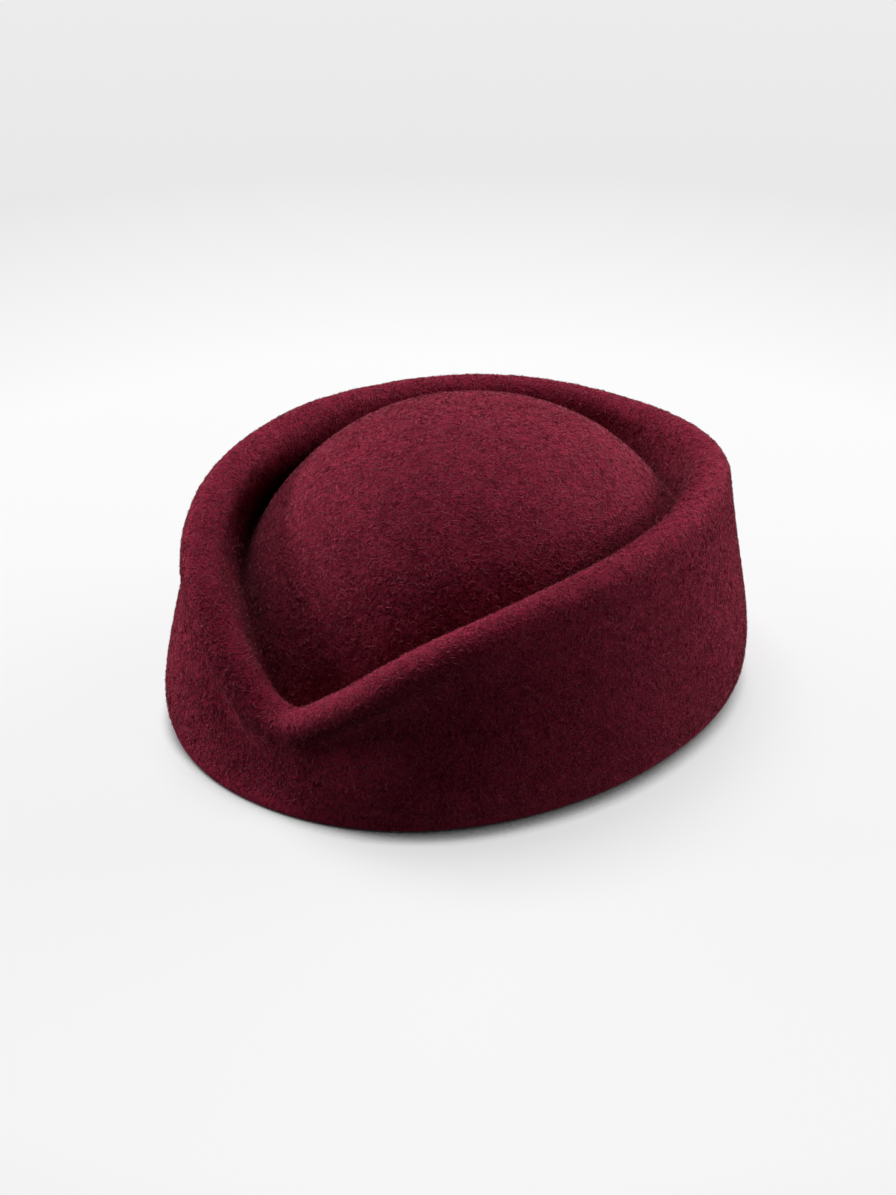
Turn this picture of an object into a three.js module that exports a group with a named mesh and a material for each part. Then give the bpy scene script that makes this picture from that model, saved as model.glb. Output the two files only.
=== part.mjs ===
// A felt hat blocked in one piece. An oval side wall stands on its open base edge, turns over a soft
// rolled rim that dips low at the front, drops into a groove behind the rim, and rises again as a
// domed crown. Millimetres, +Z up, the front of the hat at -Y, the origin in the middle of the base.
import * as THREE from 'three';

// Felt
const FELT_THICKNESS = 2.8;
const FELT_COLOUR = 0x6b1d2f;
const FELT_ROUGHNESS = 0.95;

// Base edge, an oval that is a little fuller than an ellipse and narrower at the front
const BASE_LENGTH = 202;
const BASE_WIDTH = 170;
const BASE_FULLNESS = 2.1;
const BASE_EGG = 0.045;

// Rim roll, the neck under its outer side, and the narrow floor of the groove behind it
const ROLL_RADIUS = 7;
const NECK_DROP = 13.5;
const GROOVE_FLOOR = 1;

// Crown dome, an egg shape a little fuller than an ellipsoid: the height of its top, how far the top
// lies behind the middle of the base, and how far the egg would reach from there
const CROWN_HEIGHT = 88;
const CROWN_SETBACK = 11;
const CROWN_REACH_SIDE = 87;
const CROWN_REACH_FRONT = 94;
const CROWN_REACH_BACK = 84;
const CROWN_REACH_DOWN = 114;
const CROWN_FULLNESS = 2.5;

// One row for each section of the wearer's left half, by its angle from the front in degrees.
// Insets run squarely inwards from the base edge, to the crest of the rim, to the neck and to the foot
// of the groove's outer wall. edgeLean is the inward slope of the side wall where it leaves the base.
const SECTIONS = [
  { angle: 0, rimHeight: 28, rimInset: 14, neckInset: 7.5, grooveInset: 23, edgeLean: 0.25 },
  { angle: 15, rimHeight: 38.5, rimInset: 13, neckInset: 9, grooveInset: 24, edgeLean: 0.1 },
  { angle: 35, rimHeight: 55.5, rimInset: 11.5, neckInset: 7.5, grooveInset: 25.5, edgeLean: -0.5 },
  { angle: 60, rimHeight: 67, rimInset: 12, neckInset: 4.5, grooveInset: 21.5, edgeLean: -0.4 },
  { angle: 90, rimHeight: 71.5, rimInset: 13, neckInset: 4.5, grooveInset: 18, edgeLean: -0.45 },
  { angle: 120, rimHeight: 70, rimInset: 14, neckInset: 5.5, grooveInset: 20.5, edgeLean: -0.3 },
  { angle: 150, rimHeight: 67, rimInset: 9.5, neckInset: 2.5, grooveInset: 22.5, edgeLean: 0.3 },
  { angle: 180, rimHeight: 65, rimInset: 7.5, neckInset: 3, grooveInset: 20.5, edgeLean: 0.05 },
];

// Facets round the hat and along each stretch of a section
const ROUND_STEPS = 80;
const WALL_STEPS = 9;
const ROLL_STEPS = 8;
const GROOVE_WALL_STEPS = 2;
const CROWN_STEPS = 9;

const COLUMNS = ['rimHeight', 'rimInset', 'neckInset', 'grooveInset', 'edgeLean'];
const sectionTable = new THREE.CubicInterpolant(
  SECTIONS.map((row) => THREE.MathUtils.degToRad(row.angle)),
  SECTIONS.flatMap((row) => COLUMNS.map((column) => row[column])),
  COLUMNS.length,
);
sectionTable.settings = { endingStart: THREE.ZeroSlopeEnding, endingEnd: THREE.ZeroSlopeEnding };

// The section sizes at any angle, the right half mirroring the left.
function sectionAt(angle) {
  const values = sectionTable.evaluate(Math.abs(angle));
  return Object.fromEntries(COLUMNS.map((column, index) => [column, values[index]]));
}

// A sine or cosine bent so that the oval it draws is fuller than an ellipse.
function fuller(value) {
  return Math.sign(value) * Math.abs(value) ** (2 / BASE_FULLNESS);
}

// The base edge in plan.
function baseEdge(angle) {
  const taper = 1 - BASE_EGG * Math.cos(angle);
  const x = (BASE_WIDTH / 2) * taper * fuller(Math.sin(angle));
  const y = (-BASE_LENGTH / 2) * fuller(Math.cos(angle));
  return new THREE.Vector2(x, y);
}

// The direction in plan that points squarely inwards from the base edge.
function inwards(angle) {
  const halfStep = Math.PI / ROUND_STEPS;
  const along = baseEdge(angle + halfStep).sub(baseEdge(angle - halfStep)).normalize();
  return new THREE.Vector2(-along.y, along.x);
}

// The angle on the rim roll where a straight line from a point touches it, on the given side.
function touchAngle(centre, point, side) {
  const arm = point.clone().sub(centre);
  return arm.angle() + side * Math.acos(ROLL_RADIUS / arm.length());
}

// The point on the rim roll at an angle about its centre.
function onRoll(centre, angle) {
  return new THREE.Vector2(Math.cos(angle), Math.sin(angle)).multiplyScalar(ROLL_RADIUS).add(centre);
}

// The height of the crown dome over a point in plan.
function crownHeight(plan) {
  const behind = plan.y - CROWN_SETBACK;
  const reachAlong = behind < 0 ? CROWN_REACH_FRONT : CROWN_REACH_BACK;
  const share = Math.hypot(plan.x / CROWN_REACH_SIDE, behind / reachAlong);
  return CROWN_HEIGHT - CROWN_REACH_DOWN * (1 - Math.sqrt(1 - share ** CROWN_FULLNESS));
}

// One section from the base edge to the foot of the groove's outer wall, as inset and height.
function sectionProfile(section, grooveHeight) {
  const neckHeight = section.rimHeight - NECK_DROP;
  const edge = new THREE.Vector2(0, 0);
  const neck = new THREE.Vector2(section.neckInset, neckHeight);
  const centre = new THREE.Vector2(section.rimInset, section.rimHeight - ROLL_RADIUS);
  const grooveFoot = new THREE.Vector2(section.grooveInset, grooveHeight);

  const outerTouch = touchAngle(centre, neck, -1);
  const innerTouch = touchAngle(centre, grooveFoot, 1);
  const handle = neckHeight / 3;
  const edgeHandle = new THREE.Vector2(section.edgeLean * handle, handle);
  const neckHandle = onRoll(centre, outerTouch).sub(neck).setLength(-handle).add(neck);
  const wall = new THREE.CubicBezierCurve(edge, edgeHandle, neckHandle, neck);
  const roll = new THREE.ArcCurve(centre.x, centre.y, ROLL_RADIUS, outerTouch, innerTouch, true);
  const grooveWall = new THREE.LineCurve(onRoll(centre, innerTouch), grooveFoot);
  return [
    ...wall.getPoints(WALL_STEPS),
    ...roll.getPoints(ROLL_STEPS),
    ...grooveWall.getPoints(GROOVE_WALL_STEPS).slice(1),
  ];
}

// The outer face of one section, from the base edge up to the last ring below the crown's top.
function outerLine(angle) {
  const section = sectionAt(angle);
  const edge = baseEdge(angle);
  const inward = inwards(angle);
  const crownFoot = edge.clone().addScaledVector(inward, section.grooveInset + GROOVE_FLOOR);
  const line = sectionProfile(section, crownHeight(crownFoot)).map(({ x: inset, y: height }) => {
    const plan = edge.clone().addScaledVector(inward, inset);
    return new THREE.Vector3(plan.x, plan.y, height);
  });
  const crownTop = new THREE.Vector2(0, CROWN_SETBACK);
  for (let step = 0; step < CROWN_STEPS; step += 1) {
    const reach = Math.cos((step / CROWN_STEPS) * (Math.PI / 2));
    const plan = crownTop.clone().lerp(crownFoot, reach);
    line.push(new THREE.Vector3(plan.x, plan.y, crownHeight(plan)));
  }
  return line;
}

// The unit direction from one point to another.
function direction(from, to) {
  return to.clone().sub(from).normalize();
}

// The inner face: each point set one felt thickness in, with its ring at the base kept flat.
function innerLines(outer, top) {
  return outer.map((line, column) => {
    const before = outer[(column + ROUND_STEPS - 1) % ROUND_STEPS];
    const after = outer[(column + 1) % ROUND_STEPS];
    return line.map((point, ring) => {
      const onward = direction(point, line[ring + 1] ?? top);
      const arriving = ring > 0 ? direction(line[ring - 1], point) : onward;
      const climb = arriving.clone().add(onward);
      const bendShare = climb.length() / 2;
      const around = direction(before[ring], after[ring]);
      const outward = around.cross(climb).normalize();
      if (ring === 0) {
        outward.setZ(0).normalize();
      }
      return point.clone().addScaledVector(outward, -FELT_THICKNESS / bendShare);
    });
  });
}

// The closed solid between the two faces.
function feltShell() {
  const top = new THREE.Vector3(0, CROWN_SETBACK, CROWN_HEIGHT);
  const turns = Array.from({ length: ROUND_STEPS }, (_, step) => step / ROUND_STEPS);
  const outer = turns.map((turn) => outerLine((2 * turn - 1) * Math.PI));
  const inner = innerLines(outer, top);
  const innerTop = top.clone().setZ(CROWN_HEIGHT - FELT_THICKNESS);
  const rings = outer[0].length;
  const vertices = [...outer.flat(), ...inner.flat(), top, innerTop];
  const innerStart = ROUND_STEPS * rings;
  const topIndex = 2 * innerStart;

  const triangles = [];
  const quad = (a, b, c, d) => triangles.push(a, b, c, a, c, d);
  for (let column = 0; column < ROUND_STEPS; column += 1) {
    const here = column * rings;
    const next = ((column + 1) % ROUND_STEPS) * rings;
    const innerHere = innerStart + here;
    const innerNext = innerStart + next;
    for (let ring = 0; ring + 1 < rings; ring += 1) {
      quad(here + ring, next + ring, next + ring + 1, here + ring + 1);
      quad(innerHere + ring, innerHere + ring + 1, innerNext + ring + 1, innerNext + ring);
    }
    triangles.push(here + rings - 1, next + rings - 1, topIndex);
    triangles.push(innerNext + rings - 1, innerHere + rings - 1, topIndex + 1);
    quad(here, innerHere, innerNext, next);
  }

  const geometry = new THREE.BufferGeometry().setFromPoints(vertices);
  geometry.setIndex(triangles);
  geometry.computeVertexNormals();
  return geometry;
}

const felt = new THREE.MeshStandardMaterial({
  color: FELT_COLOUR,
  roughness: FELT_ROUGHNESS,
  metalness: 0,
});
const shell = new THREE.Mesh(feltShell(), felt);
shell.name = 'felt_shell';

const hat = new THREE.Group();
hat.name = 'hat';
hat.add(shell);

export default hat;
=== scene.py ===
"""Looks of a one-piece wool felt hat: the blocked felt wall, its nap of short fibres and a studio.

Metres, +Z up, the front of the hat at -Y, the origin in the middle of the base edge.
"""

import logging
import math
from dataclasses import dataclass, field
from enum import Enum
from functools import partial

import bpy
import numpy as np
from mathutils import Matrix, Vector, noise


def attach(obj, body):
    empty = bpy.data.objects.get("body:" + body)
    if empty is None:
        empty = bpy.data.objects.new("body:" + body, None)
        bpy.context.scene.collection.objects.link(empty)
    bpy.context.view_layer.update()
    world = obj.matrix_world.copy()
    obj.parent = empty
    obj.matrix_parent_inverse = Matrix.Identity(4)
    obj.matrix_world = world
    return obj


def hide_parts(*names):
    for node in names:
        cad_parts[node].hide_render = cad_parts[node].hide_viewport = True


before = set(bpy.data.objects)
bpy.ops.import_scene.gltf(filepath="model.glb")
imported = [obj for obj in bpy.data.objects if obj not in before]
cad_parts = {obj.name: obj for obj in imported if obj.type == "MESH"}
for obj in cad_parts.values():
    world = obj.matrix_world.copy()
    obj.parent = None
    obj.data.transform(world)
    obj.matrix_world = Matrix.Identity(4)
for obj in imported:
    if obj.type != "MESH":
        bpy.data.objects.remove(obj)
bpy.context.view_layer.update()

LOG = logging.getLogger("felt_hat")
BODY = "root"
FELT_NODE = "felt_shell"
FIRST_SEED = 11

Colour = tuple[float, float, float]
Point = tuple[float, float, float]
Span = tuple[float, float]
Socket = bpy.types.NodeSocket
Inputs = dict[str | int, object]

UNIT: Span = (0.0, 1.0)


@dataclass(frozen=True)
class Section:
    """One section of the wearer's left half of the hat.

    Attributes:
        angle: Degrees from the front.
        rim_height: Height of the rim's crest.
        rim_inset: Inset of the rim's crest from the base edge.
        neck_inset: Inset of the neck under the rim's outer side.
        groove_inset: Inset of the foot of the groove's outer wall.
        edge_lean: Inward slope of the side wall where it leaves the base edge.
    """

    angle: float
    rim_height: float
    rim_inset: float
    neck_inset: float
    groove_inset: float
    edge_lean: float


SECTIONS = (
    Section(0, 0.0280, 0.0140, 0.0075, 0.0230, 0.25),
    Section(15, 0.0385, 0.0130, 0.0090, 0.0240, 0.10),
    Section(35, 0.0555, 0.0115, 0.0075, 0.0255, -0.50),
    Section(60, 0.0670, 0.0120, 0.0045, 0.0215, -0.40),
    Section(90, 0.0715, 0.0130, 0.0045, 0.0180, -0.45),
    Section(120, 0.0700, 0.0140, 0.0055, 0.0205, -0.30),
    Section(150, 0.0670, 0.0095, 0.0025, 0.0225, 0.30),
    Section(180, 0.0650, 0.0075, 0.0030, 0.0205, 0.05),
)


class Stretch(Enum):
    """A stretch of the felt along a section, from the base edge to the crown's top."""

    WALL = "wall"
    ROLL = "roll"
    GROOVE_WALL = "groove_wall"
    GROOVE_FLOOR = "groove_floor"
    CROWN = "crown"


@dataclass
class HatBlock:
    """The block that the felt is shaped on: every size of the hat's outer face.

    Attributes:
        base_length: Front to back over the base edge.
        base_width: Across the base edge.
        base_fullness: Power of the base edge's oval, 2 for an ellipse.
        base_egg: How much narrower the oval is in front.
        edge_round: Radius of the rounding under the cut edge.
        square_step: Angle to each side over which the edge's direction is taken.
        roll_radius: Radius of the rim roll.
        neck_drop: How far the neck lies under the rim's crest.
        groove_floor: Width of the groove's floor.
        crease_bead: Height of the soft bead along the groove's floor.
        crown_height: Height of the crown's top.
        crown_setback: How far the crown's top lies behind the middle of the base.
        crown_reach_side: How far the crown's egg would reach to the sides.
        crown_reach_front: How far it would reach to the front.
        crown_reach_back: How far it would reach to the back.
        crown_reach_down: How far it would reach down.
        crown_fullness: Power of the egg's outline, 2 for an ellipsoid.
        wall_crowding: How strongly the wall's rings crowd towards the base edge.
        crown_crowding: How strongly the crown's rings crowd towards the groove.
        sections: The sections of the left half, from front to back.
    """

    base_length: float = 0.202
    base_width: float = 0.170
    base_fullness: float = 2.1
    base_egg: float = 0.045
    edge_round: float = 0.0015
    square_step: float = math.radians(2.25)
    roll_radius: float = 0.007
    neck_drop: float = 0.0135
    groove_floor: float = 0.001
    crease_bead: float = 0.0003
    crown_height: float = 0.088
    crown_setback: float = 0.011
    crown_reach_side: float = 0.087
    crown_reach_front: float = 0.094
    crown_reach_back: float = 0.084
    crown_reach_down: float = 0.114
    crown_fullness: float = 2.5
    wall_crowding: float = 1.2
    crown_crowding: float = 1.3
    sections: tuple[Section, ...] = SECTIONS

    def sizes_at(self, angles: np.ndarray, name: str) -> np.ndarray:
        """One size of the sections, carried smoothly between them.

        Args:
            angles: Angles from the front in radians, positive on the wearer's left.
            name: The field of Section to read.

        Returns:
            The size at each angle.
        """
        at = np.radians([section.angle for section in self.sections])
        values = np.array([getattr(section, name) for section in self.sections])
        chords = np.diff(values) / np.diff(at)
        slopes = np.concatenate(([0.0], (chords[:-1] + chords[1:]) / 2, [0.0]))
        turn = np.abs(angles)
        left = np.clip(np.searchsorted(at, turn, side="right") - 1, 0, len(at) - 2)
        span = at[left + 1] - at[left]
        share = (turn - at[left]) / span
        rise = share**2 * (3 - 2 * share)
        return (
            values[left] * (1 - rise)
            + values[left + 1] * rise
            + slopes[left] * span * share * (1 - share) ** 2
            - slopes[left + 1] * span * share**2 * (1 - share)
        )

    def base_edge(self, angles: np.ndarray) -> np.ndarray:
        """The base edge in plan, an oval a little fuller than an ellipse and narrower in front."""
        across, along = np.sin(angles), np.cos(angles)
        power = 2 / self.base_fullness
        x = self.base_width / 2 * (1 - self.base_egg * along) * np.sign(across) * np.abs(across) ** power
        y = -self.base_length / 2 * np.sign(along) * np.abs(along) ** power
        return np.stack((x, y), axis=-1)

    def inward(self, angles: np.ndarray) -> np.ndarray:
        """The plan direction that points squarely inwards from the base edge."""
        along = self.base_edge(angles + self.square_step) - self.base_edge(angles - self.square_step)
        along /= np.linalg.norm(along, axis=-1, keepdims=True)
        return np.stack((-along[..., 1], along[..., 0]), axis=-1)

    def crown_rise(self, plan: np.ndarray) -> np.ndarray:
        """The height of the crown dome over points in plan."""
        behind = plan[..., 1] - self.crown_setback
        reach = np.where(behind < 0, self.crown_reach_front, self.crown_reach_back)
        share = np.hypot(plan[..., 0] / self.crown_reach_side, behind / reach)
        return self.crown_height - self.crown_reach_down * (1 - np.sqrt(1 - share**self.crown_fullness))

    def touch_angle(self, centre: np.ndarray, point: np.ndarray, side: int) -> np.ndarray:
        """The angle on the rim roll where a straight line from a point touches it.

        Args:
            centre: The roll's centre, as inset and height.
            point: Where the line starts, as inset and height.
            side: -1 for the outer side of the roll, 1 for the inner side.

        Returns:
            The angle about the roll's centre, in radians.
        """
        reach, rise = np.moveaxis(point - centre, -1, 0)
        return np.arctan2(rise, reach) + side * np.arccos(self.roll_radius / np.hypot(reach, rise))

    def side_wall(self, neck: np.ndarray, touch: np.ndarray, lean: np.ndarray, steps: int) -> np.ndarray:
        """The side wall from the base edge to the neck, rounded under at the cut edge.

        Args:
            neck: The neck of each column, as inset and height.
            touch: Where the line on from the neck touches the rim roll.
            lean: The wall's inward slope where it leaves the base edge.
            steps: The number of steps along the wall.

        Returns:
            The wall's points by column and ring, as inset and height.
        """
        handle = neck[..., 1:] / 3
        onward = touch - neck
        edge_handle = handle * np.stack((lean, np.ones_like(lean)), axis=-1)
        neck_handle = neck - onward * (handle / np.linalg.norm(onward, axis=-1, keepdims=True))
        share = np.linspace(0, 1, steps + 1)[:, None] ** self.wall_crowding
        first, second, third = 3 * share * (1 - share) ** 2, 3 * share**2 * (1 - share), share**3
        wall = first * edge_handle + second * neck_handle + third * neck
        under = np.clip(1 - wall[..., 1] / self.edge_round, 0, 1)
        wall[..., 0] += self.edge_round * (1 - np.sqrt(1 - under**2))
        return wall

    def rim_roll(self, centre: np.ndarray, start: np.ndarray, end: np.ndarray, steps: int) -> np.ndarray:
        """The rim roll between two angles about its centre, as inset and height."""
        turn = start + (end - start) * np.linspace(0, 1, steps + 1)
        return centre + self.roll_radius * np.stack((np.cos(turn), np.sin(turn)), axis=-1)

    def outer_face(
        self, angles: np.ndarray, steps: dict[Stretch, int]
    ) -> tuple[np.ndarray, list[Stretch]]:
        """The outer face as a grid of points, without the crown's top.

        Args:
            angles: The angle of each column.
            steps: The number of steps along each stretch of a section.

        Returns:
            The points by column and ring, and the stretch that each ring belongs to.
        """
        edge, inward = self.base_edge(angles)[:, None], self.inward(angles)[:, None]
        rim_height, rim_inset, neck_inset, groove_inset, edge_lean = (
            self.sizes_at(angles, name)[:, None]
            for name in ("rim_height", "rim_inset", "neck_inset", "groove_inset", "edge_lean")
        )
        crown_foot = edge + inward * (groove_inset + self.groove_floor)[..., None]
        neck = np.stack((neck_inset, rim_height - self.neck_drop), axis=-1)
        centre = np.stack((rim_inset, rim_height - self.roll_radius), axis=-1)
        groove = np.stack((groove_inset, self.crown_rise(crown_foot)), axis=-1)

        outer_touch = self.touch_angle(centre, neck, -1) % (2 * np.pi)
        inner_touch = self.touch_angle(centre, groove, 1)
        roll = self.rim_roll(centre, outer_touch, inner_touch, steps[Stretch.ROLL])
        wall = self.side_wall(neck, roll[:, :1], edge_lean, steps[Stretch.WALL])
        share = np.linspace(0, 1, steps[Stretch.GROOVE_WALL] + 1)[1:, None]
        drop = roll[:, -1:] + (groove - roll[:, -1:]) * share
        share = np.linspace(0, 1, steps[Stretch.GROOVE_FLOOR] + 1)[1:-1]
        bead = np.stack((self.groove_floor * share, self.crease_bead * np.sin(np.pi * share)), axis=-1)
        floor = groove + bead
        share = 1 - np.linspace(0, 1, steps[Stretch.CROWN] + 1)[:-1, None] ** self.crown_crowding
        top = np.array((0.0, self.crown_setback))
        dome = top + (crown_foot - top) * share

        band = np.concatenate((wall, roll, drop, floor), axis=1)
        plan = np.concatenate((edge + inward * band[..., :1], dome), axis=1)
        height = np.concatenate((band[..., 1:], self.crown_rise(dome)[..., None]), axis=1)
        lines = (wall, roll, drop, floor, dome)
        stretches = [kind for kind, line in zip(Stretch, lines) for _ in range(line.shape[1])]
        return np.concatenate((plan, height), axis=-1), stretches


def add_node(
    tree: bpy.types.NodeTree, kind: str, inputs: Inputs | None = None, **settings: object
) -> bpy.types.Node:
    """Adds a node to a tree.

    Args:
        tree: The material's, world's or modifier's node tree.
        kind: The node's type name.
        inputs: Values or output sockets for the node's inputs, by name or index.
        **settings: Properties of the node itself.

    Returns:
        The new node.
    """
    node = tree.nodes.new(kind)
    for key, value in settings.items():
        setattr(node, key, value)
    for key, value in (inputs or {}).items():
        if isinstance(value, Socket):
            tree.links.new(value, node.inputs[key])
        else:
            node.inputs[key].default_value = value
    return node


@dataclass(frozen=True)
class Grain:
    """A noise pattern in the felt.

    Attributes:
        scale: Features to the metre.
        detail: Layers of finer noise.
        twist: How far the pattern is bent.
        spread: How far its values reach from their middle.
        middle: The middle of its values.
    """

    scale: float
    detail: float
    twist: float
    spread: float
    middle: float = 0.5

    @property
    def span(self) -> Span:
        """The lowest and highest value."""
        return self.middle - self.spread, self.middle + self.spread


class Shader:
    """A short way to add and join shader nodes in one material."""

    def __init__(self, name: str) -> None:
        """Starts an empty material of that name."""
        self.material = bpy.data.materials.new(name)
        self.material.use_nodes = True
        self.material.node_tree.nodes.clear()

    def add(self, kind: str, inputs: Inputs | None = None, **settings: object) -> bpy.types.Node:
        """Adds a node with its settings, values and links."""
        return add_node(self.material.node_tree, kind, inputs, **settings)

    def math(self, operation: str, *values: object) -> Socket:
        """Adds a Math node and gives its output."""
        return self.add("ShaderNodeMath", dict(enumerate(values)), operation=operation).outputs[0]

    def noise(self, where: Socket, grain: Grain) -> Socket:
        """Adds a noise pattern and gives its value output."""
        values = {"Vector": where, "Scale": grain.scale, "Detail": grain.detail, "Distortion": grain.twist}
        return self.add("ShaderNodeTexNoise", values).outputs["Fac"]

    def remap(self, value: object, span: Span, to: Span) -> Socket:
        """Adds a clamped Map Range node and gives its output."""
        return self.add("ShaderNodeMapRange", dict(enumerate((value, *span, *to)))).outputs[0]

    def blend(self, share: object, first: object, second: object, mode: str = "MIX") -> Socket:
        """Adds a colour Mix node and gives its output."""
        values = {0: share, 6: first, 7: second}
        return self.add("ShaderNodeMix", values, data_type="RGBA", blend_type=mode).outputs[2]

    def surface(self, skin: bpy.types.Node) -> bpy.types.Material:
        """Makes a node the material's surface and gives the material."""
        self.add("ShaderNodeOutputMaterial", {"Surface": skin.outputs[0]})
        return self.material


@dataclass(frozen=True)
class FeltFinish:
    """Fulled wool felt: a tangle of short fibres, uneven dye, a soft sheen, rubbed edges partly lightened
    by a painted highlight down the rim roll's outer side, and painted shade in creases.

    Attributes:
        name: The material's name.
        hollow_colour: Colour deep between the fibres.
        fibre_colour: Colour of the fibres on top.
        rubbed_and_highlight_colour: Colour of the fibres on rubbed edges and under the painted highlight
            down the rim roll's outer side.
        tangle: The curling fibres.
        fine: The finest fibre ends.
        clumps: Knots of fibre.
        clouds: The uneven dye.
        curl_share: Share of the curls in the pile.
        fine_share: Share of the fine ends in the pile.
        clump_share: Share of the clumps in the pile.
        pile_span: The pile's values from hollow to top.
        cloud_tone: Least and greatest tone that the dye gives.
        clump_tone: Least and greatest tone that the clumps give.
        rub_and_highlight_span: The pile's values over which the rubbing and painted highlight grow.
        rub_and_highlight_share: Least and greatest share of the rubbed and highlight colour.
        roughness: Roughness in the hollows and on top.
        clump_relief: How far the clumps stand out beside the pile.
        bump_strength: Strength of the relief.
        bump_depth: Depth of the relief.
        sheen: Strength of the sheen.
        sheen_roughness: Roughness of the sheen.
        sheen_tint: Colour of the sheen.
        painted_crease_shade: How much darker the painted shade makes the felt's colour in the groove's
            crease and under the rim's tucked neck.
    """

    name: str = "wine_wool_felt"
    hollow_colour: Colour = (0.115, 0.0050, 0.0165)
    fibre_colour: Colour = (0.300, 0.0240, 0.0560)
    rubbed_and_highlight_colour: Colour = (0.330, 0.0210, 0.0580)
    tangle: Grain = Grain(460.0, 2.0, 1.6, 0.16)
    fine: Grain = Grain(1500.0, 1.0, 0.8, 0.18)
    clumps: Grain = Grain(150.0, 2.0, 0.6, 0.2)
    clouds: Grain = Grain(32.0, 1.0, 0.0, 0.2)
    curl_share: float = 0.55
    fine_share: float = 0.30
    clump_share: float = 0.15
    pile_span: Span = (0.12, 0.82)
    cloud_tone: Span = (0.92, 1.08)
    clump_tone: Span = (0.93, 1.07)
    rub_and_highlight_span: Span = (0.2, 0.8)
    rub_and_highlight_share: Span = (0.10, 0.40)
    roughness: Span = (0.98, 0.82)
    clump_relief: float = 0.35
    bump_strength: float = 0.8
    bump_depth: float = 0.0005
    sheen: float = 0.10
    sheen_roughness: float = 0.5
    sheen_tint: Colour = (1.0, 0.35, 0.42)
    painted_crease_shade: float = 0.82

    def material(self) -> bpy.types.Material:
        """Builds the felt material."""
        shader = Shader(self.name)
        where = shader.add("ShaderNodeTexCoord").outputs["Object"]
        tangle = shader.math("SUBTRACT", shader.noise(where, self.tangle), self.tangle.middle)
        curls = shader.remap(shader.math("ABSOLUTE", tangle), (0.0, self.tangle.spread), (1.0, 0.0))
        fine, clumps, clouds = (
            shader.remap(shader.noise(where, grain), grain.span, UNIT)
            for grain in (self.fine, self.clumps, self.clouds)
        )

        pile = shader.math("MULTIPLY", curls, self.curl_share)
        for layer, share in ((fine, self.fine_share), (clumps, self.clump_share)):
            pile = shader.math("ADD", pile, shader.math("MULTIPLY", layer, share))
        pile = shader.remap(pile, self.pile_span, UNIT)
        colour = shader.blend(pile, (*self.hollow_colour, 1), (*self.fibre_colour, 1))
        # Painted shade: the crease mask read here darkens the felt's colour in the groove's crease and
        # under the rim's tucked neck, where shade falls.
        painted_shade_and_press = shader.add("ShaderNodeAttribute", attribute_name="painted_shade_and_press").outputs["Fac"]
        tone = shader.remap(clouds, UNIT, self.cloud_tone)
        tone = shader.math("MULTIPLY", tone, shader.remap(clumps, UNIT, self.clump_tone))
        tone = shader.math("MULTIPLY", tone, shader.remap(painted_shade_and_press, UNIT, (1.0, 1 - self.painted_crease_shade)))
        shade = shader.add("ShaderNodeCombineColor", {0: tone, 1: tone, 2: tone}).outputs[0]
        colour = shader.blend(1.0, colour, shade, "MULTIPLY")
        # Rubbing wear on the rim's crest and base edge lightens the colour; down the rim roll's outer side
        # this lightening is also a painted highlight that widens the roll's lit band.
        rub_and_painted_highlight = shader.add("ShaderNodeAttribute", attribute_name="rub_and_painted_highlight").outputs["Fac"]
        rub_and_painted_highlight = shader.math("MULTIPLY", rub_and_painted_highlight, shader.remap(pile, self.rub_and_highlight_span, self.rub_and_highlight_share))
        colour = shader.blend(rub_and_painted_highlight, colour, (*self.rubbed_and_highlight_colour, 1))

        relief = shader.math("ADD", pile, shader.math("MULTIPLY", clumps, self.clump_relief))
        values = {"Height": relief, "Strength": self.bump_strength, "Distance": self.bump_depth}
        bump = shader.add("ShaderNodeBump", values)
        skin = shader.add(
            "ShaderNodeBsdfPrincipled",
            {
                "Base Color": colour,
                "Roughness": shader.remap(pile, UNIT, self.roughness),
                "Normal": bump.outputs[0],
                "Specular IOR Level": 0.0,
                "Sheen Weight": self.sheen,
                "Sheen Roughness": self.sheen_roughness,
                "Sheen Tint": (*self.sheen_tint, 1),
            },
        )
        return shader.surface(skin)


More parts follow.
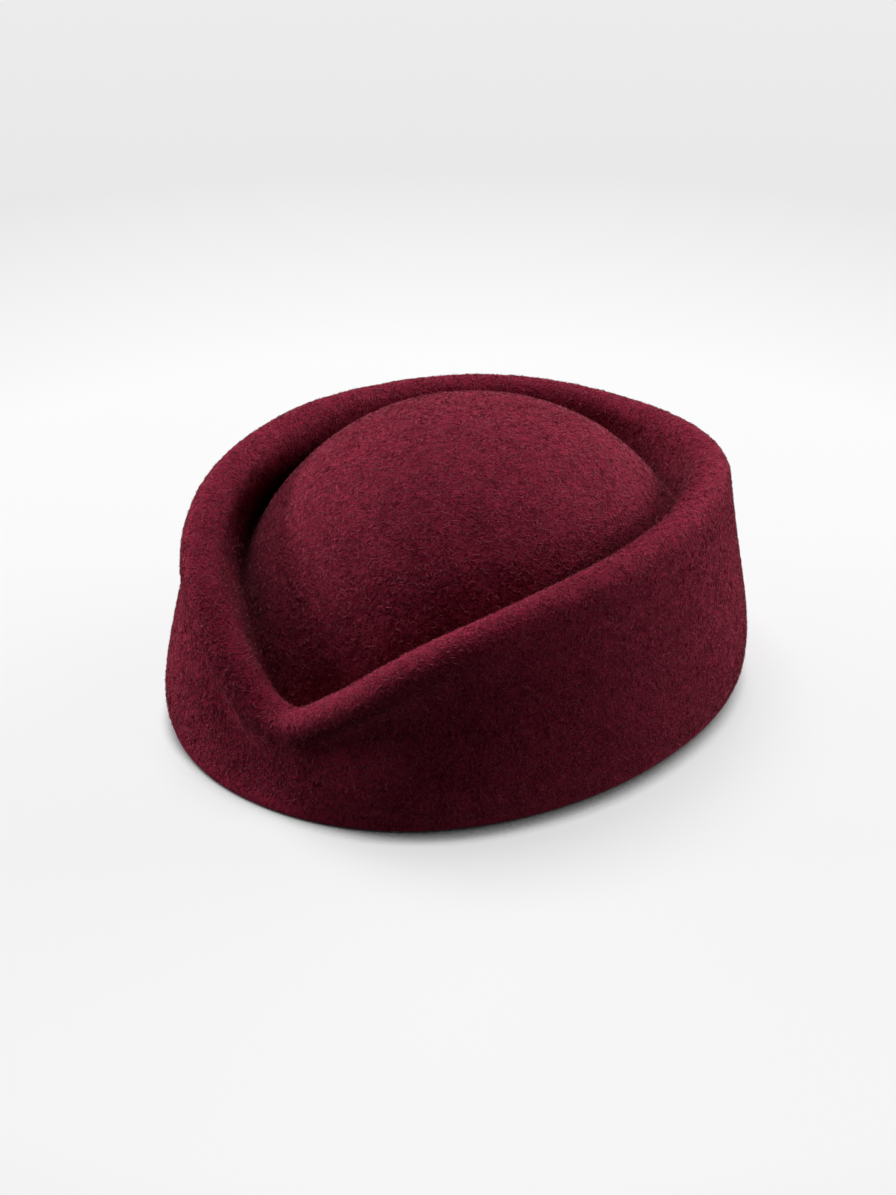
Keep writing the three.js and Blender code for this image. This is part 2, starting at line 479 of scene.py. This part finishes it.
@dataclass
class FeltHat:
    """The hat's felt: one closed wall with an outer face, an inner face and a cut base edge.

    Attributes:
        block: The shape of the outer face.
        finish: The felt's finish.
        name: The piece's name.
        thickness: The felt's thickness.
        columns: Columns of points round the hat.
        inner_stride: Rings of the outer face to each ring of the inner face.
        mitre_limit: The sharpest bend that the inner face follows.
        steps: Steps along each stretch of a section.
        ripple_lengths: Lengths of the ripples that blocking leaves.
        ripple_depths: Depth of the ripples of each length.
        ripple_start: Height over which the ripples grow from none at the base edge.
        outer_seed: Shift of the ripples on the outer face.
        inner_seed: Shift of the ripples on the inner face.
        nap_start: Height where the nap begins.
        nap_fade: Height over which the nap grows.
        shallow_groove: Depth of a groove that gets neither painted crease shade nor pressing.
        deep_groove: Depth of a groove that gets the full painted crease shade and pressing.
        crease_press: Share of the nap that a crease presses flat.
        straight_neck: Inset of a neck that isn't tucked in.
        neck_reach: How far the painted shade and pressing at the neck's tuck reach each way.
        neck_share: Strength of the painted shade and pressing at the deepest tuck, against a full crease.
        crease_to_rim: How far the painted shade and pressing of the groove's crease reach towards the rim.
        crease_to_crown: How far the painted shade and pressing of the groove's crease reach towards the
            crown's top.
        rub_and_highlight_to_base: How far the rubbing and painted highlight on the rim reach towards the
            base edge.
        rub_and_highlight_to_groove: How far the rubbing and painted highlight on the rim reach towards the
            groove.
        edge_rub: Rubbing of the base edge.
        edge_rub_height: Height that the base edge's rubbing reaches.
    """

    block: HatBlock = field(default_factory=HatBlock)
    finish: FeltFinish = field(default_factory=FeltFinish)
    name: str = "felt_body"
    thickness: float = 0.0028
    columns: int = 320
    inner_stride: int = 3
    mitre_limit: float = 0.5
    steps: dict[Stretch, int] = field(
        default_factory=lambda: {
            Stretch.WALL: 54,
            Stretch.ROLL: 26,
            Stretch.GROOVE_WALL: 9,
            Stretch.GROOVE_FLOOR: 5,
            Stretch.CROWN: 58,
        }
    )
    ripple_lengths: tuple[float, ...] = (0.045, 0.011, 0.0042)
    ripple_depths: tuple[float, ...] = (0.00035, 0.00012, 0.00006)
    ripple_start: float = 0.004
    outer_seed: float = 1.7
    inner_seed: float = 5.3
    nap_start: float = 0.0035
    nap_fade: float = 0.001
    shallow_groove: float = 0.009
    deep_groove: float = 0.020
    crease_press: float = 0.85
    straight_neck: float = 0.0045
    neck_reach: float = 0.006
    neck_share: float = 0.65
    crease_to_rim: float = 0.012
    crease_to_crown: float = 0.026
    rub_and_highlight_to_base: float = 0.014
    rub_and_highlight_to_groove: float = 0.009
    edge_rub: float = 0.7
    edge_rub_height: float = 0.003

    @property
    def angles(self) -> np.ndarray:
        """The angle of each column of points, from the back of the hat round to the back again."""
        return np.arange(self.columns) / self.columns * 2 * np.pi - np.pi

    def outward(self, grid: np.ndarray, top: np.ndarray) -> np.ndarray:
        """The outward direction at each point of a face, longer at bends so that the wall stays even."""
        above = np.concatenate((grid[:, 1:], np.broadcast_to(top, (len(grid), 1, 3))), axis=1) - grid
        above /= np.linalg.norm(above, axis=-1, keepdims=True)
        below = np.concatenate((above[:, :1], above[:, :-1]), axis=1)
        climb = above + below
        bend_share = np.linalg.norm(climb, axis=-1, keepdims=True) / 2
        around = np.roll(grid, -1, axis=0) - np.roll(grid, 1, axis=0)
        normal = np.cross(around, climb)
        normal[:, 0, 2] = 0.0
        normal /= np.linalg.norm(normal, axis=-1, keepdims=True)
        return normal / np.maximum(bend_share, self.mitre_limit)

    def ripple(self, points: np.ndarray, seed: float) -> np.ndarray:
        """How far hand blocking leaves each point proud of the true shape, none at the base edge."""
        shift = Vector((seed, 2 * seed, 3 * seed))
        lifted = [
            sum(
                depth * noise.noise(Vector(point) / length + shift)
                for length, depth in zip(self.ripple_lengths, self.ripple_depths)
            )
            for point in points.reshape(-1, 3)
        ]
        fade = np.clip(points[..., 2] / self.ripple_start, 0, 1)
        return np.array(lifted).reshape(points.shape[:2]) * fade

    def build(self) -> bpy.types.Object:
        """Builds the felt as one closed mesh.

        Returns:
            The felt's object, with its point attributes for rubbing and painted highlight, for painted
            crease shade and pressing, and for nap.
        """
        outer, stretches = self.block.outer_face(self.angles, self.steps)
        top = np.array((0.0, self.block.crown_setback, self.block.crown_height))
        outward = self.outward(outer, top)
        inner = (outer - outward * self.thickness)[:, :: self.inner_stride]
        unit = outward / np.linalg.norm(outward, axis=-1, keepdims=True)
        outer = outer + unit * self.ripple(outer, self.outer_seed)[..., None]
        inner -= unit[:, :: self.inner_stride] * self.ripple(inner, self.inner_seed)[..., None]
        inner[:, 0, 2] = 0.0

        tops = np.stack((top, top - (0, 0, self.thickness)))
        points = np.concatenate((outer.reshape(-1, 3), inner.reshape(-1, 3), tops))
        outer_index = np.arange(outer[..., 0].size).reshape(outer.shape[:2])
        inner_index = outer_index.size + np.arange(inner[..., 0].size).reshape(inner.shape[:2])
        top_index = outer_index.size + inner_index.size
        faces = self.quads(outer_index) + self.quads(inner_index[:, ::-1])
        faces += self.fan(outer_index[:, -1], top_index)
        faces += self.fan(inner_index[::-1, -1], top_index + 1)
        faces += self.quads(np.stack((inner_index[:, 0], outer_index[:, 0]), axis=1))

        mesh = bpy.data.meshes.new(self.name)
        mesh.from_pydata(points.tolist(), [], faces)
        mesh.shade_smooth()
        self.mark(mesh, outer, stretches, len(points))
        mesh.materials.append(self.finish.material())
        felt = bpy.data.objects.new(self.name, mesh)
        bpy.context.scene.collection.objects.link(felt)
        return felt

    @staticmethod
    def quads(index: np.ndarray) -> list[tuple[int, ...]]:
        """The quads of a closed band of points, given by column and ring."""
        after = np.roll(index, -1, axis=0)
        corners = np.stack((index[:, :-1], after[:, :-1], after[:, 1:], index[:, 1:]), axis=-1)
        return [tuple(quad) for quad in corners.reshape(-1, 4).tolist()]

    @staticmethod
    def fan(ring: np.ndarray, tip: int) -> list[tuple[int, ...]]:
        """The triangles between a ring of points and a tip."""
        return [(here, after, tip) for here, after in zip(ring.tolist(), np.roll(ring, -1).tolist())]

    @staticmethod
    def fade(run: np.ndarray, rings: np.ndarray, below: float, above: float) -> np.ndarray:
        """How near each point lies to one ring of its column.

        Args:
            run: The way from the base edge along the felt, by column and ring.
            rings: The ring of each column that the fade starts from.
            below: How far the fade reaches towards the base edge.
            above: How far the fade reaches towards the crown's top.

        Returns:
            1 at the ring, falling softly to 0 at the two reaches.
        """
        away = run - np.take_along_axis(run, rings[:, None], axis=1)
        share = np.clip(1 - np.abs(away) / np.where(away < 0, below, above), 0, 1)
        return share**2 * (3 - 2 * share)

    def mark(
        self, mesh: bpy.types.Mesh, outer: np.ndarray, stretches: list[Stretch], count: int
    ) -> None:
        """Stores where the felt is rubbed and given a painted highlight, where painted shade darkens it
        and the nap is pressed, and where it is napped, as point attributes.

        Args:
            mesh: The felt's mesh.
            outer: The outer face's points by column and ring.
            stretches: The stretch of each ring.
            count: The number of points in the mesh.
        """
        run = np.cumsum(np.linalg.norm(np.diff(outer, axis=1, prepend=outer[:, :1]), axis=-1), axis=1)
        roll_start, roll_end = stretches.index(Stretch.ROLL), stretches.index(Stretch.GROOVE_WALL)
        crest = roll_start + outer[:, roll_start:roll_end, 2].argmax(axis=1)
        neck = np.full(self.columns, roll_start)
        floor = np.full(self.columns, stretches.index(Stretch.GROOVE_FLOOR))
        height, column = outer[..., 2], np.arange(self.columns)
        rise = height[column, crest] - height[column, floor]
        edge = np.clip(1 - height / self.edge_rub_height, 0, 1)
        deep = np.clip((rise - self.shallow_groove) / (self.deep_groove - self.shallow_groove), 0, 1)
        tucked = np.clip(self.block.sizes_at(self.angles, "neck_inset") / self.straight_neck - 1, 0, 1)
        # Painted shade mask for the groove's crease and the rim's tucked neck, where shade falls; it also
        # presses the nap flat there.
        painted_shade_and_press = np.maximum(
            self.fade(run, floor, self.crease_to_rim, self.crease_to_crown) * deep[:, None],
            self.fade(run, neck, self.neck_reach, self.neck_reach) * tucked[:, None] * self.neck_share,
        )
        # Rubbing wear along the rim's crest, reaching further down the roll's outer side as a painted
        # highlight.
        rub_and_painted_highlight = self.fade(run, crest, self.rub_and_highlight_to_base, self.rub_and_highlight_to_groove)
        standing = np.clip((height - self.nap_start) / self.nap_fade, 0, 1)
        marks = {
            "rub_and_painted_highlight": np.maximum(rub_and_painted_highlight, self.edge_rub * edge),
            "painted_shade_and_press": painted_shade_and_press,
            "nap": standing * (1 - self.crease_press * painted_shade_and_press),
        }
        for name, values in marks.items():
            stored = np.zeros(count, np.float32)
            stored[: values.size] = values.ravel()
            mesh.attributes.new(name, "FLOAT", "POINT").data.foreach_set("value", stored)

    def dress(self, felt: bpy.types.Object) -> None:
        """Puts the felt in place of its solid."""
        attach(felt, BODY)
        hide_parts(FELT_NODE)


class NapTone(Enum):
    """The tones that single fibres take in dyed wool: each one's colour and number of fibres."""

    DEEP = ((0.150, 0.0080, 0.0230), 20000)
    EVEN = ((0.230, 0.0260, 0.0480), 48000)
    BRIGHT = ((0.360, 0.0720, 0.1080), 49000)

    @property
    def colour(self) -> Colour:
        """The fibres' colour."""
        return self.value[0]

    @property
    def fibres(self) -> int:
        """The number of fibres."""
        return self.value[1]


@dataclass
class Nap:
    """Loose fibre ends that stand out of the felt's outer face, in one tone.

    Attributes:
        tone: The fibres' tone.
        seed: Seed of the fibres' places, turns and sizes.
        length: Length of a middling fibre.
        thickness: Thickness of a middling fibre at its root.
        lean_low: Least lean from upright, in radians.
        lean_high: Greatest lean from upright, in radians.
        size_range: Smallest and largest fibre, against a middling one.
        roughness: Roughness of the fibres.
        sheen: Strength of their sheen.
        sheen_roughness: Roughness of their sheen.
        sheen_tint: Colour of their sheen.
    """

    tone: NapTone
    seed: int
    length: float = 0.0013
    thickness: float = 0.00019
    lean_low: float = 1.22
    lean_high: float = 1.52
    size_range: Span = (0.5, 1.5)
    roughness: float = 0.9
    sheen: float = 0.35
    sheen_roughness: float = 0.5
    sheen_tint: Colour = (1.0, 0.45, 0.50)

    @property
    def name(self) -> str:
        """The piece's name."""
        return f"felt_nap_{self.tone.name.lower()}"

    def material(self) -> bpy.types.Material:
        """Builds the finish of one tone of fibre."""
        shader = Shader(f"wool_fibre_{self.tone.name.lower()}")
        values = {
            "Base Color": (*self.tone.colour, 1),
            "Roughness": self.roughness,
            "Specular IOR Level": 0.0,
            "Sheen Weight": self.sheen,
            "Sheen Roughness": self.sheen_roughness,
            "Sheen Tint": (*self.sheen_tint, 1),
        }
        return shader.surface(shader.add("ShaderNodeBsdfPrincipled", values))

    def tree(self) -> bpy.types.NodeTree:
        """Builds the tree that stands fibres on a surface.

        Returns:
            A geometry node tree with inputs for density, size, lean, seed and material.
        """
        tree = bpy.data.node_groups.new(self.name, "GeometryNodeTree")
        sockets = {
            "Geometry": "NodeSocketGeometry",
            "Density": "NodeSocketFloat",
            "Length": "NodeSocketFloat",
            "Thickness": "NodeSocketFloat",
            "Lean Low": "NodeSocketFloat",
            "Lean High": "NodeSocketFloat",
            "Seed": "NodeSocketInt",
            "Material": "NodeSocketMaterial",
        }
        for name, kind in sockets.items():
            tree.interface.new_socket(name, in_out="INPUT", socket_type=kind)
        tree.interface.new_socket("Geometry", in_out="OUTPUT", socket_type="NodeSocketGeometry")

        add = partial(add_node, tree)
        given = add("NodeGroupInput").outputs
        standing = add("GeometryNodeInputNamedAttribute", {"Name": "nap"}, data_type="FLOAT")
        values = {0: given["Density"], 1: standing.outputs[0]}
        density = add("ShaderNodeMath", values, operation="MULTIPLY")
        roots = add(
            "GeometryNodeDistributePointsOnFaces",
            {"Mesh": given["Geometry"], "Density": density.outputs[0], "Seed": given["Seed"]},
        )
        half = add("ShaderNodeMath", {0: given["Thickness"], 1: 0.5}, operation="MULTIPLY")
        fibre = add(
            "GeometryNodeMeshCone",
            {
                "Vertices": 3,
                "Side Segments": 1,
                "Fill Segments": 1,
                "Radius Top": 0.0,
                "Radius Bottom": half.outputs[0],
                "Depth": given["Length"],
            },
        )
        low = add("ShaderNodeCombineXYZ", {"X": given["Lean Low"]})
        high = add("ShaderNodeCombineXYZ", {"X": given["Lean High"], "Z": 2 * math.pi})
        turn = add(
            "FunctionNodeRandomValue",
            {0: low.outputs[0], 1: high.outputs[0], "Seed": given["Seed"]},
            data_type="FLOAT_VECTOR",
        )
        lean = add("FunctionNodeEulerToRotation", {0: turn.outputs[0]})
        stance = add(
            "FunctionNodeRotateRotation",
            {0: roots.outputs["Rotation"], 1: lean.outputs[0]},
            rotation_space="LOCAL",
        )
        smallest, largest = self.size_range
        values = {2: smallest, 3: largest, "Seed": given["Seed"]}
        size = add("FunctionNodeRandomValue", values, data_type="FLOAT")
        stood = add(
            "GeometryNodeInstanceOnPoints",
            {
                "Points": roots.outputs["Points"],
                "Instance": fibre.outputs["Mesh"],
                "Rotation": stance.outputs[0],
                "Scale": size.outputs[1],
            },
        )
        real = add("GeometryNodeRealizeInstances", {0: stood.outputs[0]})
        values = {"Geometry": real.outputs[0], "Material": given["Material"]}
        painted = add("GeometryNodeSetMaterial", values)
        add("NodeGroupOutput", {0: painted.outputs[0]})
        return tree

    def build(self, felt: bpy.types.Object) -> bpy.types.Object:
        """Stands the fibres on the felt.

        Args:
            felt: The felt's object, with its nap attribute.

        Returns:
            The fibres as one plain mesh object.
        """
        napped = felt.data.attributes["nap"].data
        area = sum(face.area for face in felt.data.polygons if napped[face.vertices[0]].value > 0.5)
        values = {
            "Density": self.tone.fibres / area,
            "Length": self.length,
            "Thickness": self.thickness,
            "Lean Low": self.lean_low,
            "Lean High": self.lean_high,
            "Seed": self.seed,
            "Material": self.material(),
        }
        ground = bpy.data.objects.new(self.name, felt.data.copy())
        bpy.context.scene.collection.objects.link(ground)
        modifier = ground.modifiers.new(self.name, "NODES")
        modifier.node_group = self.tree()
        for item in modifier.node_group.interface.items_tree:
            if item.in_out == "INPUT" and item.name in values:
                modifier[item.identifier] = values[item.name]
        seen = ground.evaluated_get(bpy.context.evaluated_depsgraph_get())
        mesh = bpy.data.meshes.new_from_object(seen)
        ground.modifiers.remove(modifier)
        ground.data = mesh
        mesh.name = self.name
        return ground

    def dress(self, nap: bpy.types.Object) -> None:
        """Makes the fibres part of the hat."""
        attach(nap, BODY)


@dataclass(frozen=True)
class Viewpoint:
    """The photograph's camera.

    Attributes:
        azimuth: Degrees that it stands round from the hat's front to the wearer's left.
        elevation: Degrees that it looks down.
        distance: How far it stands from its aim.
        aim: The point that it looks at.
        focal_mm: Focal length in millimetres.
        frame_height_mm: Height of its tall frame in millimetres.
    """

    azimuth: float = 37.10
    elevation: float = 28.46
    distance: float = 0.9259
    aim: Point = (0.0009, -0.0055, 0.0310)
    focal_mm: float = 86.6
    frame_height_mm: float = 36.0

    def towards(self, bearing: float, elevation: float) -> Vector:
        """A direction given as the camera sees it.

        Args:
            bearing: Degrees clockwise from straight away from the camera.
            elevation: Degrees above the floor.

        Returns:
            The unit direction.
        """
        turn, rise = math.radians(self.azimuth - bearing), math.radians(elevation)
        level = Vector((-math.sin(turn), math.cos(turn), 0.0))
        return level * math.cos(rise) + Vector((0.0, 0.0, math.sin(rise)))

    def build(self) -> None:
        """Builds the camera and makes it the scene's."""
        back = self.towards(180.0, self.elevation)
        data = bpy.data.cameras.new("photo_camera")
        data.sensor_fit = "VERTICAL"
        data.sensor_height = self.frame_height_mm
        data.lens = self.focal_mm
        camera = bpy.data.objects.new("photo_camera", data)
        camera.location = Vector(self.aim) + back * self.distance
        camera.rotation_euler = back.to_track_quat("Z", "Y").to_euler()
        bpy.context.scene.collection.objects.link(camera)
        bpy.context.scene.camera = camera


@dataclass(frozen=True)
class Lamp:
    """A soft studio lamp that faces the hat.

    Attributes:
        name: The lamp's name.
        bearing: Degrees clockwise from straight behind the hat, as the camera sees it.
        elevation: Degrees above the floor.
        level: How bright white paper looks that faces the lamp in the hat's place.
        distance: How far the lamp stands from the hat.
        width: The lamp's width.
        height: The lamp's height.
        aim_height: Height of the point that the lamp faces.
    """

    name: str
    bearing: float
    elevation: float
    level: float
    distance: float = 3.0
    width: float = 1.5
    height: float = 0.8
    aim_height: float = 0.05

    def build(self, view: Viewpoint) -> None:
        """Builds the lamp and turns it to the hat.

        Args:
            view: The camera that the bearing is taken from.
        """
        light = bpy.data.lights.new(self.name, "AREA")
        light.shape = "RECTANGLE"
        light.size = self.width
        light.size_y = self.height
        light.energy = self.level * (math.pi * self.distance) ** 2
        out = view.towards(self.bearing, self.elevation)
        lamp = bpy.data.objects.new(self.name, light)
        lamp.location = out * self.distance + Vector((0.0, 0.0, self.aim_height))
        lamp.rotation_euler = out.to_track_quat("Z", "Y").to_euler()
        lamp.visible_camera = False
        bpy.context.scene.collection.objects.link(lamp)


@dataclass
class Studio:
    """A pale floor lit softly from above and from the sides and back.

    Attributes:
        floor_reach: How far the floor runs from the hat.
        floor_colour: Colour of the floor's paper.
        floor_glow: Even light on the paper close to the hat.
        floor_glow_far: Even light on the paper far from the hat.
        glow_fade: Distances between which the even light falls.
        contact_reach: How far the shade under the hat's edge reaches.
        contact_lean: Bearing and elevation that the floor faces where the hat shades it.
        contact_fade: Openness where the shade is full and where it ends.
        contact_samples: Looks taken at the openness.
        fill: Brightness of the room around.
        backdrop: Brightness of the room where the camera sees it.
        viewpoint: The camera.
        lamps: The lamps.
    """

    floor_reach: float = 8.0
    floor_colour: Colour = (0.25, 0.25, 0.25)
    floor_glow: float = 0.662
    floor_glow_far: float = 0.475
    glow_fade: Span = (0.26, 0.48)
    contact_reach: float = 0.010
    contact_lean: Span = (4.0, 36.0)
    contact_fade: Span = (0.33, 0.62)
    contact_samples: int = 8
    fill: float = 0.005
    backdrop: float = 0.80
    viewpoint: Viewpoint = field(default_factory=Viewpoint)
    lamps: tuple[Lamp, ...] = (
        Lamp("overhead_lamp", 345.0, 63.0, 0.96, height=1.5),
        Lamp("back_left_lamp", 315.0, 12.0, 0.30),
        Lamp("left_lamp", 285.0, 5.0, 0.74, height=0.4),
        Lamp("back_right_lamp", 45.0, 8.0, 0.70, height=0.4),
        Lamp("right_lamp", 68.0, 14.0, 0.48),
        Lamp("front_right_lamp", 135.0, 5.0, 0.165, height=0.4),
    )

    def build(self) -> bpy.types.Object:
        """Builds the camera, lamps, surroundings and floor.

        Returns:
            The floor's object.
        """
        bpy.context.scene.view_settings.view_transform = "Standard"
        self.viewpoint.build()
        for lamp in self.lamps:
            lamp.build(self.viewpoint)
        self.surround()
        return self.floor()

    def surround(self) -> None:
        """Sets a dim even fill that looks pale where the camera sees past the floor."""
        world = bpy.data.worlds.new("studio_room")
        world.use_nodes = True
        world.node_tree.nodes.clear()
        add = partial(add_node, world.node_tree)
        seen = add("ShaderNodeLightPath").outputs["Is Camera Ray"]
        values = {"Value": seen, "To Min": self.fill, "To Max": self.backdrop}
        strength = add("ShaderNodeMapRange", values)
        air = add("ShaderNodeBackground", {"Strength": strength.outputs[0]})
        add("ShaderNodeOutputWorld", {"Surface": air.outputs[0]})
        bpy.context.scene.world = world

    def paper(self) -> bpy.types.Material:
        """Builds the floor's pale paper, darker close under the hat's near side."""
        shader = Shader("pale_paper")
        lit_from = self.viewpoint.towards(*self.contact_lean)
        facing = shader.add("ShaderNodeCombineXYZ", dict(enumerate(lit_from))).outputs[0]
        values = {"Distance": self.contact_reach, "Normal": facing}
        open_air = shader.add("ShaderNodeAmbientOcclusion", values, samples=self.contact_samples)
        contact = shader.remap(open_air.outputs["AO"], self.contact_fade, UNIT)
        colour = shader.blend(contact, (0, 0, 0, 1), (*self.floor_colour, 1))
        paper = shader.add("ShaderNodeBsdfDiffuse", {"Color": colour})
        where = shader.add("ShaderNodeTexCoord").outputs["Object"]
        away = shader.add("ShaderNodeVectorMath", {0: where}, operation="LENGTH").outputs["Value"]
        strength = shader.remap(away, self.glow_fade, (self.floor_glow, self.floor_glow_far))
        strength = shader.math("MULTIPLY", strength, contact)
        glow = shader.add("ShaderNodeEmission", {"Strength": strength})
        both = shader.add("ShaderNodeAddShader", {0: paper.outputs[0], 1: glow.outputs[0]})
        shader.material.cycles.emission_sampling = "NONE"
        return shader.surface(both)

    def floor(self) -> bpy.types.Object:
        """Builds the floor, kept out of the hat's own bounce light so that the near wall stays deep."""
        reach = self.floor_reach
        corners = [(-reach, -reach, 0), (reach, -reach, 0), (reach, reach, 0), (-reach, reach, 0)]
        mesh = bpy.data.meshes.new("studio_floor")
        mesh.from_pydata(corners, [], [(0, 1, 2, 3)])
        mesh.materials.append(self.paper())
        floor = bpy.data.objects.new("studio_floor", mesh)
        floor.visible_diffuse = False
        floor.visible_glossy = False
        bpy.context.scene.collection.objects.link(floor)
        return floor


def report(piece: bpy.types.Object) -> None:
    """Logs a piece's name and size."""
    piece.data.calc_loop_triangles()
    LOG.info("%s: %d triangles", piece.name, len(piece.data.loop_triangles))


def main() -> None:
    """Builds the studio, the felt and its nap."""
    logging.basicConfig(level=logging.INFO)
    report(Studio().build())
    hat = FeltHat()
    felt = hat.build()
    naps = [Nap(tone, seed) for seed, tone in enumerate(NapTone, start=FIRST_SEED)]
    fibres = [nap.build(felt) for nap in naps]
    hat.dress(felt)
    report(felt)
    for nap, piece in zip(naps, fibres):
        nap.dress(piece)
        report(piece)


if __name__ == "__main__":
    main()
